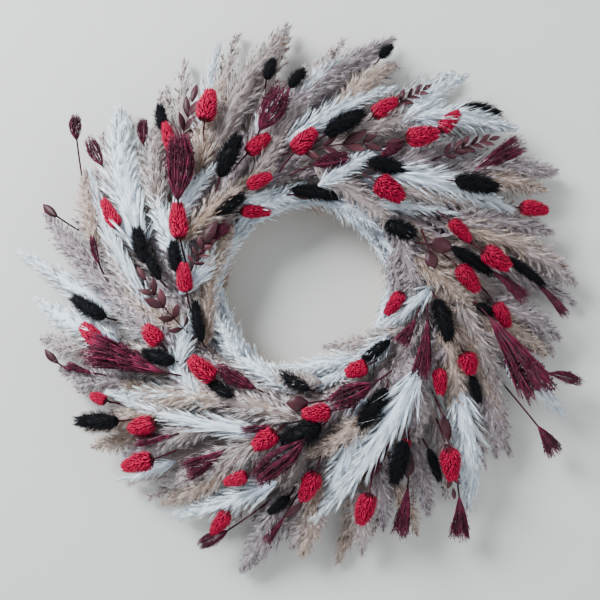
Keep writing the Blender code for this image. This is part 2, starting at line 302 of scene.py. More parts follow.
def make_plume(name, seed, barbs, hairs, reach, jitter, thickness, fullest, strays, seeds=0):
    """Barbs leave the stalk in a spiral. Each barb is a pointed tuft of fine hairs.

    reach is a barb's shortest and longest length, jitter how far its hairs scatter, and
    thickness a hair's, all in mm. fullest is the share of the length where it is widest.
    """
    random.seed(seed)
    blades = []
    for number in range(barbs):
        share = (number + random.random()) / barbs
        foot = 0.97 * share
        length = random.uniform(*reach) * (1 - 0.5 * share) * MM
        tip = min(foot + length / PLUME_LENGTH, 1.04)
        turn = number * GOLDEN_ANGLE + random.uniform(-0.4, 0.4)
        outward = Vector((0, math.cos(turn), math.sin(turn)))
        spread = plume_envelope(min(tip, 1.0), fullest) * PLUME_HALF * random.uniform(0.72, 1.22)
        barb_foot = Vector((foot * PLUME_LENGTH, 0, 0)) + outward * 0.12 * spread
        barb_tip = Vector((tip * PLUME_LENGTH, 0, 0)) + outward * spread
        shade = random.random()
        for _ in range(hairs):
            first = random.uniform(0.0, 0.7)
            last = min(first + random.uniform(0.3, 0.6), 1.0)
            loose = jitter * random.uniform(0.3, 1.0) * (1.2 - 0.8 * last) * MM
            scatter = Vector([random.uniform(-1, 1) for _ in range(3)]) * loose
            start = barb_foot.lerp(barb_tip, first) + scatter * 0.2
            end = barb_foot.lerp(barb_tip, last) + scatter
            width = thickness * random.uniform(0.6, 1.3) * MM
            row = min(max(shade + random.uniform(-0.3, 0.3), 0.0), 1.0)
            blades.append((aim(start, end, width, turn), row))
    for _ in range(strays):
        foot = random.uniform(0.0, 0.9)
        turn = random.uniform(0, 2 * math.pi)
        outward = Vector((0, math.cos(turn), math.sin(turn)))
        low = 0.5 * PLUME_HALF * plume_envelope(foot, fullest)
        start = Vector((foot * PLUME_LENGTH, 0, 0)) + outward * low
        tip = min(foot + random.uniform(0.08, 0.2), 1.05)
        high = max(plume_envelope(min(tip, 1.0), fullest), 0.3)
        spread = PLUME_HALF * high * random.uniform(1.15, 1.8)
        end = Vector((tip * PLUME_LENGTH, 0, 0)) + outward * spread
        blades.append((aim(start, end, STRAY_THICKNESS, turn), random.uniform(0.5, 1.0)))
    specks = []
    for _ in range(seeds):
        foot = random.uniform(0.06, 0.94)
        turn = random.uniform(0, 2 * math.pi)
        outward = Vector((0, math.cos(turn), math.sin(turn)))
        out = PLUME_HALF * plume_envelope(foot, fullest) * random.uniform(0.5, 0.95)
        start = Vector((foot * PLUME_LENGTH, 0, 0)) + outward * out
        along = Vector((random.uniform(3, 6), 0, 0)) * MM
        end = start + along + outward * random.uniform(0.5, 1.5) * MM
        specks.append((aim(start, end, random.uniform(0.35, 0.6) * MM, turn), random.random()))
    core = make_core(
        name + "_core",
        PLUME_LENGTH * CORE_LENGTH,
        PLUME_HALF * CORE_WIDTH,
        lambda share: plume_envelope(share, fullest),
    )
    parts = [core, make_tuft(name + "_hairs", blades, spike)]
    if specks:
        parts.append(make_tuft(name + "_seeds", specks, dark_spike))
    return join(name, parts)


quality = 1.0
NATURAL_FORM = {"reach": (16, 30), "jitter": 5.6, "fullest": 0.44}
natural_plumes = [
    make_plume(
        f"natural_{seed}", seed, barbs=105, hairs=int(18 * quality), thickness=0.32, strays=80,
        seeds=80, **NATURAL_FORM,
    )
    for seed in (11, 12, 13)
]
white_plumes = [
    make_plume(
        f"white_{seed}", seed, barbs=92, hairs=int(20 * quality), reach=(24, 40), jitter=3.2,
        thickness=0.40, fullest=0.36, strays=50,
    )
    for seed in (21, 22)
]
bed_plumes = {
    "natural": make_plume(
        "natural_bed", 15, barbs=49, hairs=int(12 * quality), thickness=0.52, strays=16, seeds=12,
        **NATURAL_FORM,
    ),
    "white": make_plume(
        "white_bed", 25, barbs=50, hairs=int(12 * quality), reach=(20, 32), jitter=4.2,
        thickness=0.54, fullest=0.36, strays=16,
    ),
}
print("a natural plume has", len(natural_plumes[0].polygons), "faces")


# %% Bunny tails: a dark egg under a coat of short soft hairs
TAIL_LENGTH = 36 * MM
TAIL_HALF = 7.5 * MM
TAIL_HAIRS = 1100


def egg_envelope(share, power):
    """Half width along an egg, 1 at its middle. A lower power gives blunter ends."""
    return math.sin(math.pi * min(max(share, 0.0), 1.0)) ** power


def make_egg(name, length, half, envelope=None, rings=10, sides=12):
    """A smooth egg from x = 0 to its length, reshaped by the envelope if there is one."""
    mesh = bmesh.new()
    bmesh.ops.create_uvsphere(mesh, u_segments=sides, v_segments=rings, radius=0.5)
    bmesh.ops.rotate(mesh, verts=mesh.verts, matrix=Matrix.Rotation(math.pi / 2, 3, "Y"))
    bmesh.ops.scale(mesh, verts=mesh.verts, vec=(length, 2 * half, 2 * half))
    bmesh.ops.translate(mesh, verts=mesh.verts, vec=(length / 2, 0, 0))
    if envelope:
        for corner in mesh.verts:
            around = Vector((0, corner.co.y, corner.co.z))
            if around.length > half * 0.01:
                around = around.normalized() * half * envelope(corner.co.x / length)
                corner.co = Vector((corner.co.x, around.y, around.z))
    bmesh.ops.recalc_face_normals(mesh, faces=mesh.faces)
    add_length_map(mesh, 0.0, length)
    return to_mesh(mesh, name)


def make_tail(name, seed, hairs):
    """Hairs start inside the egg's skin, lean to the tip and end past the skin."""
    random.seed(seed)
    blades = []
    for _ in range(hairs):
        foot = random.uniform(-0.02, 0.92)
        turn = random.uniform(0, 2 * math.pi)
        low = egg_envelope(foot + 0.03, 0.5) * TAIL_HALF * 0.6
        tip = foot + random.uniform(0.05, 0.2)
        high = max(egg_envelope(min(tip, 0.96), 0.45), 0.4) * TAIL_HALF * random.uniform(0.9, 1.6)
        swirl = turn + random.uniform(-0.3, 0.3)
        start = Vector((foot * TAIL_LENGTH, low * math.cos(turn), low * math.sin(turn)))
        end = Vector((tip * TAIL_LENGTH, high * math.cos(swirl), high * math.sin(swirl)))
        blades.append((aim(start, end, random.uniform(0.16, 0.3) * MM, turn), random.random()))
    core = make_egg(name + "_core", TAIL_LENGTH * 0.92, TAIL_HALF * 0.66)
    return join(name, [core, make_tuft(name + "_coat", blades, spike)])


tails = [make_tail(f"tail_{seed}", seed, int(TAIL_HAIRS * quality)) for seed in (31, 32)]
print("a tail has", len(tails[0].polygons), "faces")

# %% Phalaris heads: overlapping pointed scales in a spiral
HEAD_LENGTH = 29 * MM
HEAD_HALF = 8 * MM
HEAD_SCALES = 380
HEAD_CORE = 0.72
SCALE_ROOT = 0.74


def head_envelope(share):
    """Fullest near the stalk, with a blunt point."""
    return math.sin(math.pi * min(max(share, 0.0), 1.0) ** 0.72) ** 0.62


def make_head(name, seed):
    """Scales sit in a spiral. Those near the stalk stand out, those at the tip lie close."""
    random.seed(seed)
    blades = []
    for number in range(HEAD_SCALES):
        share = (number + 0.5) / HEAD_SCALES
        foot = 0.02 + 0.86 * share
        turn = number * GOLDEN_ANGLE + random.uniform(-0.12, 0.12)
        outward = Vector((0, math.cos(turn), math.sin(turn)))
        low = head_envelope(0.04 + 0.92 * foot) * HEAD_HALF * SCALE_ROOT
        start = Vector((foot * HEAD_LENGTH, 0, 0)) + outward * low
        length = random.uniform(2.6, 4.0) * MM
        rise = random.uniform(0.8, 1.5) * (1 - 0.75 * share)
        end = start + Vector((length, 0, 0)) + outward * length * rise
        roll = math.atan2(outward.z, outward.y) - math.pi / 2
        width = random.uniform(0.62, 0.85) * MM
        blades.append((aim(start, end, width, roll, wide=1.2), random.random()))
    core = make_egg(name + "_core", HEAD_LENGTH * 0.93, HEAD_HALF * HEAD_CORE, head_envelope)
    return join(name, [core, make_tuft(name + "_scales", blades, scale_leaf)])


heads = [make_head(f"head_{seed}", seed) for seed in (41, 42)]
print("a head has", len(heads[0].polygons), "faces")

# %% Broom bundles: thin twigs from one point, with side twigs and tiny beads
BROOM_LENGTH = 60 * MM
BROOM_HALF = 15 * MM
TWIG_THICKNESS = 0.62
TWIG_OVERLAP = 1.45
SIDE_TWIGS = 5
SIDE_THICKNESS = 0.55 * MM
BEAD_THICKNESS = 1.1 * MM


def make_broom(name, seed, twigs, closed):
    """Twigs spread into a fan. In a closed bundle they bow out and lean in again.

    A twig is four blades end to end. Each overlaps the next, so its thin end is hidden.
    """
    random.seed(seed)
    blades = []
    beads = []
    for _ in range(twigs):
        turn = random.uniform(0, 2 * math.pi)
        lean = random.uniform(0.25, 1.0) ** 0.7
        outward = Vector((0, math.cos(turn), math.sin(turn) * 0.8)) * BROOM_HALF * lean
        tip_x = random.uniform(0.8, 1.0) * BROOM_LENGTH
        stations = []
        slip = random.uniform(-0.08, 0.08)
        for share in (0.0, 0.22 + slip, 0.45 + slip, 0.7 + slip, 1.0):
            swell = math.sin(math.pi * share * 0.76) if closed else share ** 0.85
            wobble = Vector((0, random.uniform(-1, 1), random.uniform(-1, 1))) * 0.8 * MM
            stations.append(Vector((share * tip_x, 0, 0)) + outward * swell + wobble * share)
        shade = random.random()
        for start, end in zip(stations, stations[1:]):
            step = (end - start) * TWIG_OVERLAP
            width = random.uniform(0.75, 1.15) * TWIG_THICKNESS * MM
            blades.append((aim(start, start + step, width, turn), shade))
        for _ in range(SIDE_TWIGS):
            foot = random.uniform(0.55, 0.99) * (len(stations) - 1)
            near = min(int(foot), len(stations) - 2)
            place = stations[near].lerp(stations[near + 1], foot - near)
            side = Vector((random.uniform(1, 7), random.uniform(-4, 4), random.uniform(-4, 4))) * MM
            beads.append((aim(place, place + side, SIDE_THICKNESS), shade))
            bead_foot = place + side * 0.8
            bead = Vector((random.uniform(1.4, 2.2) * MM, 0, 0))
            beads.append((aim(bead_foot, bead_foot + bead, BEAD_THICKNESS), random.random()))
    twig_tuft = make_tuft(name + "_twigs", blades)
    return join(name, [twig_tuft, make_tuft(name + "_beads", beads, dark_spike)])


open_brooms = [make_broom(f"fan_{seed}", seed, twigs=90, closed=False) for seed in (51, 52)]
closed_brooms = [make_broom(f"cage_{seed}", seed, twigs=62, closed=True) for seed in (55, 56)]
print("a broom has", len(open_brooms[0].polygons), "faces")

# %% Leaves: an oval blade with a folded midrib, alone or in pairs on a twig
LEAF_LENGTH = 21 * MM
LEAF_HALF = 4.1 * MM
LEAF_THICKNESS = 0.25 * MM


def make_leaf(name):
    """A grid pinched to an oval, raised at its edges and drooping at its ends."""
    mesh = bmesh.new()
    bmesh.ops.create_grid(mesh, x_segments=6, y_segments=2, size=0.5)
    for corner in mesh.verts:
        share = corner.co.x + 0.5
        outline = egg_envelope(0.03 + 0.95 * share, 1.0)
        edge = corner.co.y * 2
        corner.co.x = share * LEAF_LENGTH
        corner.co.y = edge * outline * LEAF_HALF
        corner.co.z = (abs(edge) * 0.30 * outline - 0.55 * (share - 0.5) ** 2) * LEAF_HALF
    bmesh.ops.solidify(mesh, geom=mesh.faces, thickness=LEAF_THICKNESS)
    bmesh.ops.recalc_face_normals(mesh, faces=mesh.faces)
    add_length_map(mesh, 0.0, LEAF_LENGTH)
    return to_mesh(mesh, name)


leaf = make_leaf("leaf")
SPRIG_LENGTH = 70 * MM
SPRIG_HALF = 11 * MM


def make_sprig(name, seed, pairs):
    """Leaves in pairs along a twig, and one at its end."""
    random.seed(seed)
    twig_line = aim(Vector((0, 0, 0)), Vector((SPRIG_LENGTH, 0, 0)), 0.8 * MM)
    twig = make_tuft(name + "_twig", [(twig_line, 0.5)])
    blades = []
    for number in range(pairs):
        foot = Vector(((0.08 + 0.84 * number / pairs) * SPRIG_LENGTH, 0, 0.3 * MM))
        for side in (-1, 1):
            turn = Matrix.Rotation(side * math.radians(random.uniform(20, 46)), 4, "Z")
            tilt = Matrix.Rotation(math.radians(random.uniform(-24, 10)), 4, "Y")
            roll = Matrix.Rotation(math.radians(random.uniform(-35, 35)), 4, "X")
            size = Matrix.Scale(random.uniform(0.7, 0.98), 4)
            blades.append((Matrix.Translation(foot) @ turn @ tilt @ roll @ size, random.random()))
    end = Matrix.Translation((0.93 * SPRIG_LENGTH, 0, 0)) @ Matrix.Scale(0.75, 4)
    blades.append((end, 0.4))
    return join(name, [twig, make_tuft(name + "_leaves", blades, leaf)])


sprigs = [make_sprig("sprig_61", 61, pairs=5), make_sprig("sprig_62", 62, pairs=4)]
leaf_behind = Matrix.Translation((-1 * MM, 0, -1 * MM))
single_leaf = make_tuft("single_leaf", [(Matrix.Identity(4), 0.1), (leaf_behind, 0.9)], leaf)
print("a sprig has", len(sprigs[0].polygons), "faces")

# %% [markdown]
# ## Laying a template along a path
# A plant isn't straight: its stem is bound at the ring and its head droops over the rim.
# The template's corners are moved so that its +X axis follows a path, the way a lattice or
# a Curve modifier would, with numpy doing all the corners at once.

# %% Paths
FLOOR_CLEARANCE = 0.6 * MM
TANGENT_REACH = 4 * MM
END_SHARE = 0.02


def rounded(points, times=2):
    """Cuts the corners of a rough path a few times, which leaves a smooth one."""
    for _ in range(times):
        cut = [points[0]]
        for start, end in zip(points, points[1:]):
            cut += [start.lerp(end, 0.25), start.lerp(end, 0.75)]
        points = cut + [points[-1]]
    return points


def lay_along(template, path, length, width_scale, turn=0.0, flat=1.0):
    """A copy of the template, whose length runs from the path's start to its end.

    Corners past either end go straight on. The turn is about the template's own axis, and
    flat squeezes it across the wreath's face.
    """
    data = template.copy()
    count = len(data.vertices)
    corners = np.empty(count * 3)
    data.vertices.foreach_get("co", corners)
    corners = corners.reshape(-1, 3)
    share = corners[:, 0] / length
    across = corners[:, 1] * math.cos(turn) - corners[:, 2] * math.sin(turn)
    above = corners[:, 1] * math.sin(turn) + corners[:, 2] * math.cos(turn)
    points = np.array([tuple(point) for point in rounded(path)])
    steps = np.linalg.norm(np.diff(points, axis=0), axis=1)
    station = np.concatenate([[0.0], np.cumsum(steps)])
    total = station[-1]
    along = share * total
    place = np.stack([np.interp(along, station, points[:, i]) for i in range(3)], axis=1)
    inside = np.clip(along, 0, total)
    ahead = np.clip(inside + TANGENT_REACH, 0, total)
    behind = np.clip(inside - TANGENT_REACH, 0, total)
    after = np.stack([np.interp(ahead, station, points[:, i]) for i in range(3)], axis=1)
    before = np.stack([np.interp(behind, station, points[:, i]) for i in range(3)], axis=1)
    tangent = after - before
    tangent /= np.linalg.norm(tangent, axis=1)[:, None]
    beyond = along - inside
    place += tangent * beyond[:, None]
    side = np.stack([-tangent[:, 1], tangent[:, 0], np.zeros(count)], axis=1)
    side /= np.linalg.norm(side, axis=1)[:, None]
    up = np.cross(tangent, side)
    moved = place + side * (across * width_scale)[:, None]
    moved += up * (above * width_scale * flat)[:, None]
    moved[:, 2] = np.maximum(moved[:, 2], FLOOR_CLEARANCE)
    data.vertices.foreach_set("co", moved.reshape(-1))
    return data


def node_path(name, stations=6):
    """The centre line of a CAD solid, from its end near the ring to its tip.

    The solid's long axis comes from its corners. Each station is the mean of the corners
    nearby, weighted towards the nearest, and the two ends are the last few corners.
    """
    mesh = nodes[name].data
    corners = np.empty(len(mesh.vertices) * 3)
    mesh.vertices.foreach_get("co", corners)
    corners = corners.reshape(-1, 3)
    centre = corners.mean(axis=0)
    axis = np.linalg.svd(corners - centre, full_matrices=False)[2][0]
    share = (corners - centre) @ axis
    share = (share - share.min()) / (share.max() - share.min())
    window = 0.6 / (stations - 1)
    points = []
    for wanted in np.linspace(0, 1, stations):
        distance = np.abs(share - wanted)
        reach = max(window, distance.min() + 0.05)
        near = distance < reach
        weight = (1.001 - distance / reach)[near]
        points.append(Vector((corners[near] * weight[:, None]).sum(axis=0) / weight.sum()))
    for place, end in ((0, share < END_SHARE), (-1, share > 1 - END_SHARE)):
        points[place] = Vector(corners[end].mean(axis=0))
    if polar_of(points[0])[1] > polar_of(points[-1])[1]:
        points.reverse()
    return points


def polar_of(point):
    """Angle in degrees and radius about the ring's centre."""
    offset = point - RING_CENTRE
    return math.degrees(math.atan2(offset.y, offset.x)), math.hypot(offset.x, offset.y)


def last_part(path, length):
    """The end of a path, that long."""
    points = rounded(path, 3)
    kept = [points[-1]]
    for point in reversed(points[:-1]):
        step = (kept[-1] - point).length
        if step >= length:
            kept.append(kept[-1].lerp(point, length / step))
            break
        length -= step
        kept.append(point)
    return kept[::-1]


first_path = node_path("white_plume_outer_12", 4)
print("a plume's path", [tuple(round(v, 3) for v in point) for point in first_path])

# %% The wreath's rounded top, which every added plant follows
DOME_TOP = RING_TOP + 26 * MM
DOME_FALL = 34 * MM
DOME_ROUNDNESS = 1.25
INNER_SLOPE = 0.75
LOWEST = 4 * MM
CREST = 105 * MM
RIM = 245 * MM


def dome(radius):
    """Height of the plume layer at a radius: highest over the ring, low at rim and hole."""
    if radius < CREST:
        return DOME_TOP - INNER_SLOPE * (CREST - radius)
    return DOME_TOP - DOME_FALL * ((radius - CREST) / (RIM - CREST)) ** DOME_ROUNDNESS


def on_dome(x, y, lift=0.0):
    """A point given in mm from the ring's centre, lifted off the dome."""
    place = RING_CENTRE + Vector((x * MM, y * MM, 0))
    place.z = max(dome(math.hypot(x, y) * MM) + lift, LOWEST)
    return place


def bowed(start, end, bow):
    """A path that bows to its left by that share of its length."""
    middle = (start + end) / 2
    chord = end - start
    return [start, middle + Vector((-chord.y, chord.x, 0)) * bow, end]


# %% [markdown]
# ## Finishes
# All the hairs and twigs share one idea: a colour that changes from root to tip, with each
# strand a little lighter or darker than its neighbour, and soft patches of a second tint
# over the whole wreath. The darker root is partly the plants' own colour and partly painted
# shade between the strands. That idea is a node group, built once. Each finish feeds it its
# own colours. Roughness, sheen and gloss are the same all over a plant, so they are set
# straight on each finish's own shader.

# %% The strand colour group
SOCKETS = (("Spread", 0.3), ("Tint amount", 0.5), ("Tint scale", 9.0), ("Root reach", 0.5))


def make_strand_group():
    """Root to tip along the map's U, lighter or darker by its V, with patches of tint."""
    group = bpy.data.node_groups.new("strand_colour", "ShaderNodeTree")
    for name in ("Root", "Tip", "Tint"):
        socket = group.interface.new_socket(name=name, in_out="INPUT", socket_type="NodeSocketColor")
        socket.default_value = (0.5, 0.5, 0.5, 1.0)
    for name, value in SOCKETS:
        socket = group.interface.new_socket(name=name, in_out="INPUT", socket_type="NodeSocketFloat")
        socket.default_value = value
    group.interface.new_socket(name="Colour", in_out="OUTPUT", socket_type="NodeSocketColor")
    add, link = group.nodes.new, group.links.new
    inputs = add("NodeGroupInput")
    output = add("NodeGroupOutput")
    strand_map = add("ShaderNodeUVMap")
    strand_map.uv_map = MAP
    split = add("ShaderNodeSeparateXYZ")
    link(strand_map.outputs["UV"], split.inputs[0])
    # Root to tip: the darker root is partly the plants' own colour, partly painted shade between the
    # strands.
    length_share = add("ShaderNodeMapRange")
    length_share.interpolation_type = "SMOOTHSTEP"
    link(split.outputs["X"], length_share.inputs["Value"])
    link(inputs.outputs["Root reach"], length_share.inputs["From Max"])
    along = add("ShaderNodeMix")
    along.data_type = "RGBA"
    link(length_share.outputs["Result"], along.inputs[0])
    link(inputs.outputs["Root"], along.inputs[6])
    link(inputs.outputs["Tip"], along.inputs[7])
    place = add("ShaderNodeTexCoord")
    patches = add("ShaderNodeTexNoise")
    patches.inputs["Detail"].default_value = 1.0
    link(place.outputs["Object"], patches.inputs["Vector"])
    link(inputs.outputs["Tint scale"], patches.inputs["Scale"])
    patch_share = add("ShaderNodeMapRange")
    patch_share.inputs["From Min"].default_value = 0.35
    patch_share.inputs["From Max"].default_value = 0.65
    link(patches.outputs["Fac"], patch_share.inputs["Value"])
    amount = add("ShaderNodeMath")
    amount.operation = "MULTIPLY"
    link(patch_share.outputs["Result"], amount.inputs[0])
    link(inputs.outputs["Tint amount"], amount.inputs[1])
    tinted = add("ShaderNodeMix")
    tinted.data_type = "RGBA"
    link(amount.outputs["Value"], tinted.inputs[0])
    link(along.outputs[2], tinted.inputs[6])
    link(inputs.outputs["Tint"], tinted.inputs[7])
    strand = add("ShaderNodeMapRange")
    link(split.outputs["Y"], strand.inputs["Value"])
    low = add("ShaderNodeMath")
    low.operation = "SUBTRACT"
    low.inputs[0].default_value = 1.0
    link(inputs.outputs["Spread"], low.inputs[1])
    high = add("ShaderNodeMath")
    high.inputs[0].default_value = 1.0
    link(inputs.outputs["Spread"], high.inputs[1])
    link(low.outputs["Value"], strand.inputs["To Min"])
    link(high.outputs["Value"], strand.inputs["To Max"])
    shaded = add("ShaderNodeVectorMath")
    shaded.operation = "SCALE"
    link(tinted.outputs[2], shaded.inputs[0])
    link(strand.outputs["Result"], shaded.inputs["Scale"])
    link(shaded.outputs["Vector"], output.inputs["Colour"])
    return group


strand_group = make_strand_group()
print("strand group nodes", len(strand_group.nodes))


# %% Finishes made from it
GLOSS = 0.2
PLUME_PATCHES = 9.0
PLANT_PATCHES = 60.0


def make_finish(name, colours, spread, tint_amount, root_reach, roughness, sheen, patches):
    """A finish from its root, tip and tint colours. Spread is how far strands differ."""
    material = bpy.data.materials.new(name)
    material.use_nodes = True
    tree = material.node_tree
    shader = tree.nodes["Principled BSDF"]
    strand = tree.nodes.new("ShaderNodeGroup")
    strand.node_tree = strand_group
    for socket, colour in zip(("Root", "Tip", "Tint"), colours):
        strand.inputs[socket].default_value = (*colour, 1.0)
    strand.inputs["Spread"].default_value = spread
    strand.inputs["Tint amount"].default_value = tint_amount
    strand.inputs["Tint scale"].default_value = patches
    strand.inputs["Root reach"].default_value = root_reach
    tree.links.new(strand.outputs["Colour"], shader.inputs["Base Color"])
    shader.inputs["Roughness"].default_value = roughness
    shader.inputs["Sheen Weight"].default_value = sheen
    shader.inputs["Specular IOR Level"].default_value = GLOSS
    return material


COLOURS = {
    # The pampas roots are partly the plumes' own brown centres and partly painted shade between the hairs.
    "natural": ((0.24, 0.155, 0.11), (0.70, 0.63, 0.63), (0.50, 0.40, 0.39)),
    "tan": ((0.28, 0.17, 0.10), (0.70, 0.575, 0.51), (0.56, 0.42, 0.355)),
    "mauve": ((0.17, 0.11, 0.11), (0.58, 0.52, 0.555), (0.37, 0.29, 0.315)),
    # The bleached plumes' bluish grey root is painted shade between the hairs.
    "white": ((0.54, 0.62, 0.74), (0.92, 0.98, 1.0), (0.82, 0.90, 0.98)),
    # The tails' lighter bluish tips are a painted highlight on the fur, over a near-black root.
    "black": ((0.0008, 0.0006, 0.001), (0.007, 0.007, 0.012), (0.002, 0.002, 0.004)),
    # The heads' dark red root is painted shade between the scales.
    "red": ((0.045, 0.001, 0.006), (0.57, 0.001, 0.055), (0.39, 0.001, 0.034)),
    # The twigs' near-black root is partly their own dark burgundy and partly painted shade among them.
    "burgundy": ((0.03, 0.002, 0.009), (0.21, 0.010, 0.052), (0.11, 0.006, 0.030)),
    "leaf": ((0.030, 0.010, 0.012), (0.085, 0.026, 0.032), (0.055, 0.014, 0.021)),
    "stalk": ((0.05, 0.005, 0.012), (0.13, 0.010, 0.030), (0.07, 0.008, 0.016)),
}
finishes = {}
for kind in ("natural", "tan", "mauve"):
    finishes[kind] = make_finish(
        f"{kind}_pampas", COLOURS[kind], spread=0.26, tint_amount=0.6, root_reach=0.6, roughness=0.8,
        sheen=0.2, patches=PLUME_PATCHES,
    )
finishes["white"] = make_finish(
    "bleached_pampas", COLOURS["white"], spread=0.10, tint_amount=0.4, root_reach=0.5, roughness=0.6,
    sheen=0.2, patches=PLUME_PATCHES,
)
finishes["black"] = make_finish(
    "black_tail", COLOURS["black"], spread=0.6, tint_amount=0.3, root_reach=1.0, roughness=0.7,
    sheen=0.0, patches=PLANT_PATCHES,
)
finishes["red"] = make_finish(
    "red_head", COLOURS["red"], spread=0.35, tint_amount=0.4, root_reach=0.95, roughness=0.6,
    sheen=0.0, patches=PLANT_PATCHES,
)
finishes["burgundy"] = make_finish(
    "burgundy_broom", COLOURS["burgundy"], spread=0.7, tint_amount=0.5, root_reach=0.9, roughness=0.55,
    sheen=0.05, patches=PLANT_PATCHES,
)
finishes["leaf"] = make_finish(
    "dry_leaf", COLOURS["leaf"], spread=0.35, tint_amount=0.6, root_reach=0.8, roughness=0.42,
    sheen=0.0, patches=PLANT_PATCHES,
)
finishes["stalk"] = make_finish(
    "dyed_stalk", COLOURS["stalk"], spread=0.5, tint_amount=0.4, root_reach=0.9, roughness=0.6,
    sheen=0.0, patches=40,
)
print("finishes", sorted(finishes))


# %% Finishing a piece
def add_piece(name, meshes, finish, *stands_for):
    """Joins the meshes into one piece that rides on the wreath, and counts its faces."""
    data = join(name, meshes)
    data.shade_smooth()
    data.materials.append(finishes[finish])
    piece = bpy.data.objects.new(name, data)
    bpy.context.scene.collection.objects.link(piece)
    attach(piece, "root")
    if stands_for:
        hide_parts(*stands_for)
    return len(data.polygons)


# %% [markdown]
# ## The plumes that the frame holds
# Each plain plume solid gives a path, and its layer gives the width. Outside the inner row,
# the detailed plume follows the whole path but the first tenth, where the solid is only a
# stem. Plumes of the inner row follow their whole path and run clockwise along the hole, so a
# path found the other way round is reversed.

# %% Framed plumes
PLUME_FOOT = 0.10
PLUME_FLATNESS = 0.85
TEMPLATE_TURN = 2.4
WIDTHS = {"outer": 37 * MM, "middle": 32 * MM, "inner": 25 * MM}
NATURAL_SHADES = ("tan", "natural", "mauve")


def pick(options, number):
    """The options in turn, over and over."""
    return options[number % len(options)]


def plume_on(path, width, kind, number, template=None):
    """A plume along a path, turned about its own axis so that no two look alike."""
    if template is None:
        template = pick(white_plumes if kind == "white" else natural_plumes, number)
    scale = width / (2 * PLUME_HALF)
    return lay_along(template, path, PLUME_LENGTH, scale, TEMPLATE_TURN * number, PLUME_FLATNESS)


faces = 0
plume_nodes = sorted(name for name in nodes if "_plume_" in name)
for number, name in enumerate(plume_nodes):
    kind, _, layer, _ = name.split("_")
    path = node_path(name)
    if layer == "inner":
        start, end = polar_of(path[0])[0], polar_of(path[-1])[0]
        if (start - end) % 360 > 180:
            path.reverse()
    else:
        whole = sum((b - a).length for a, b in zip(path, path[1:]))
        path = last_part(path, whole * (1 - PLUME_FOOT))
    shade = kind if kind == "white" else pick(NATURAL_SHADES, number)
    plume = plume_on(path, WIDTHS[layer], kind, number)
    faces += add_piece(f"{name}_hairs", [plume], shade, name)
print("framed plumes", len(plume_nodes), "faces", faces)

# %% [markdown]
# ## Plumes between them
# A real wreath is bound bunch by bunch, so plumes overlap everywhere. These are listed one
# by one: the start's x and y and the tip's x and y, in mm from the ring's centre, then the
# width and the lift off the dome in mm. Each has a foot that runs back and down among the
# others. Shorter ones wrap over the inner edge.

# %% Added plumes
WHITE_PLUMES = [
    (-145, -5, -195, 105, 14, 6), (-150, 50, -170, 162, 32, 6), (-185, -40, -246, -10, 24, 6),
    (-137, -164, -172, -176, 10, 4), (93, -85, 10, -206, 27, 14), (196, -78, 240, -118, 19, 2),
    (47, 72, 133, 66, 14, 8), (0, 138, 80, 180, 18, 8), (5, 180, 35, 208, 14, 6),
    (30, 100, 70, 122, 15, 10), (-107, 73, -77, 110, 15, 8), (-55, 79, 2, 75, 15, 4),
    (28, 74, 65, 40, 15, 4), (100, -10, 62, -40, 16, 4), (30, -66, -28, -72, 15, 4),
    (-30, -80, -80, -44, 16, 4), (-97, 8, -48, 54, 17, 4), (-100, -88, -125, -45, 12, 8),
    (-32, 155, -17, 176, 12, 6), (90, 98, 184, 70, 22, 12), (-52, -125, -175, -95, 15, 12),
    (140, -105, 151, -200, 24, 6), (-45, -182, -121, -207, 20, 4), (-110, -60, -90, -5, 16, 4),
    (92, 152, 147, 194, 20, 6), (108, 152, 190, 146, 26, 8),
]
NATURAL_PLUMES = [
    (-90, 120, -73, 190, 26, 4), (-132, 90, -134, 150, 24, 6), (-195, 25, -240, 70, 22, 2),
    (-192, 58, -200, 108, 22, 2), (-150, -8, -180, 45, 22, 4), (-165, -10, -225, 50, 24, 2),
    (-97, 53, -29, 105, 20, 6), (-38, 108, 5, 170, 22, 6), (-8, 165, 80, 228, 22, 4),
    (45, 176, 82, 205, 18, 4), (52, 140, 112, 153, 22, 8), (85, 107, 165, 128, 24, 4),
    (158, 98, 222, 90, 24, 0), (87, 87, 174, 63, 20, 6), (142, 60, 226, 51, 24, 2),
    (146, 50, 238, 20, 26, 2), (200, 34, 250, 4, 24, 0), (184, -20, 234, -46, 26, 0),
    (170, -30, 220, -62, 24, 2), (142, -25, 176, -118, 26, 4), (165, -100, 175, -155, 20, 2),
    (126, -47, 134, -115, 24, 6), (97, -84, 98, -136, 20, 4), (100, -155, 113, -208, 22, 2),
    (90, -195, 104, -228, 16, 0), (48, -195, 53, -246, 18, 0), (66, -170, 72, -222, 18, 2),
    (9, -190, -4, -247, 24, 2), (5, -195, -13, -240, 22, 0), (-28, -205, -60, -262, 22, 0),
    (-76, -166, -131, -197, 20, 4), (-46, -138, -122, -178, 26, 6), (-121, -130, -164, -152, 22, 4),
    (-149, -128, -196, -146, 22, 0), (-195, -53, -243, -46, 26, 0), (-171, -84, -225, -75, 24, 0),
    (-80, -96, -168, -85, 22, 6), (-17, -110, -118, -74, 26, 6), (-127, -44, -174, 2, 24, 6),
    (-88, -32, -80, 32, 20, 4), (24, 97, 84, 48, 22, 6), (85, 45, 98, -12, 26, 6),
    (112, 15, 150, -20, 26, 6), (75, -42, 18, -54, 20, 2), (115, -60, 78, -82, 20, 4),
    (47, -121, 0, -148, 22, 6), (-75, 135, -16, 240, 28, 4), (146, 104, 232, 108, 24, 2),
    (-112, -96, -190, -122, 24, 4), (-92, -122, -166, -142, 22, 4),
]


ADDED_WIDENING = {"white": 1.5, "natural": 1.32}
FOOT_BACK = 22 * MM
FOOT_DROP = 6 * MM
TIP_DROP = 4
PLUME_BOW = 0.06


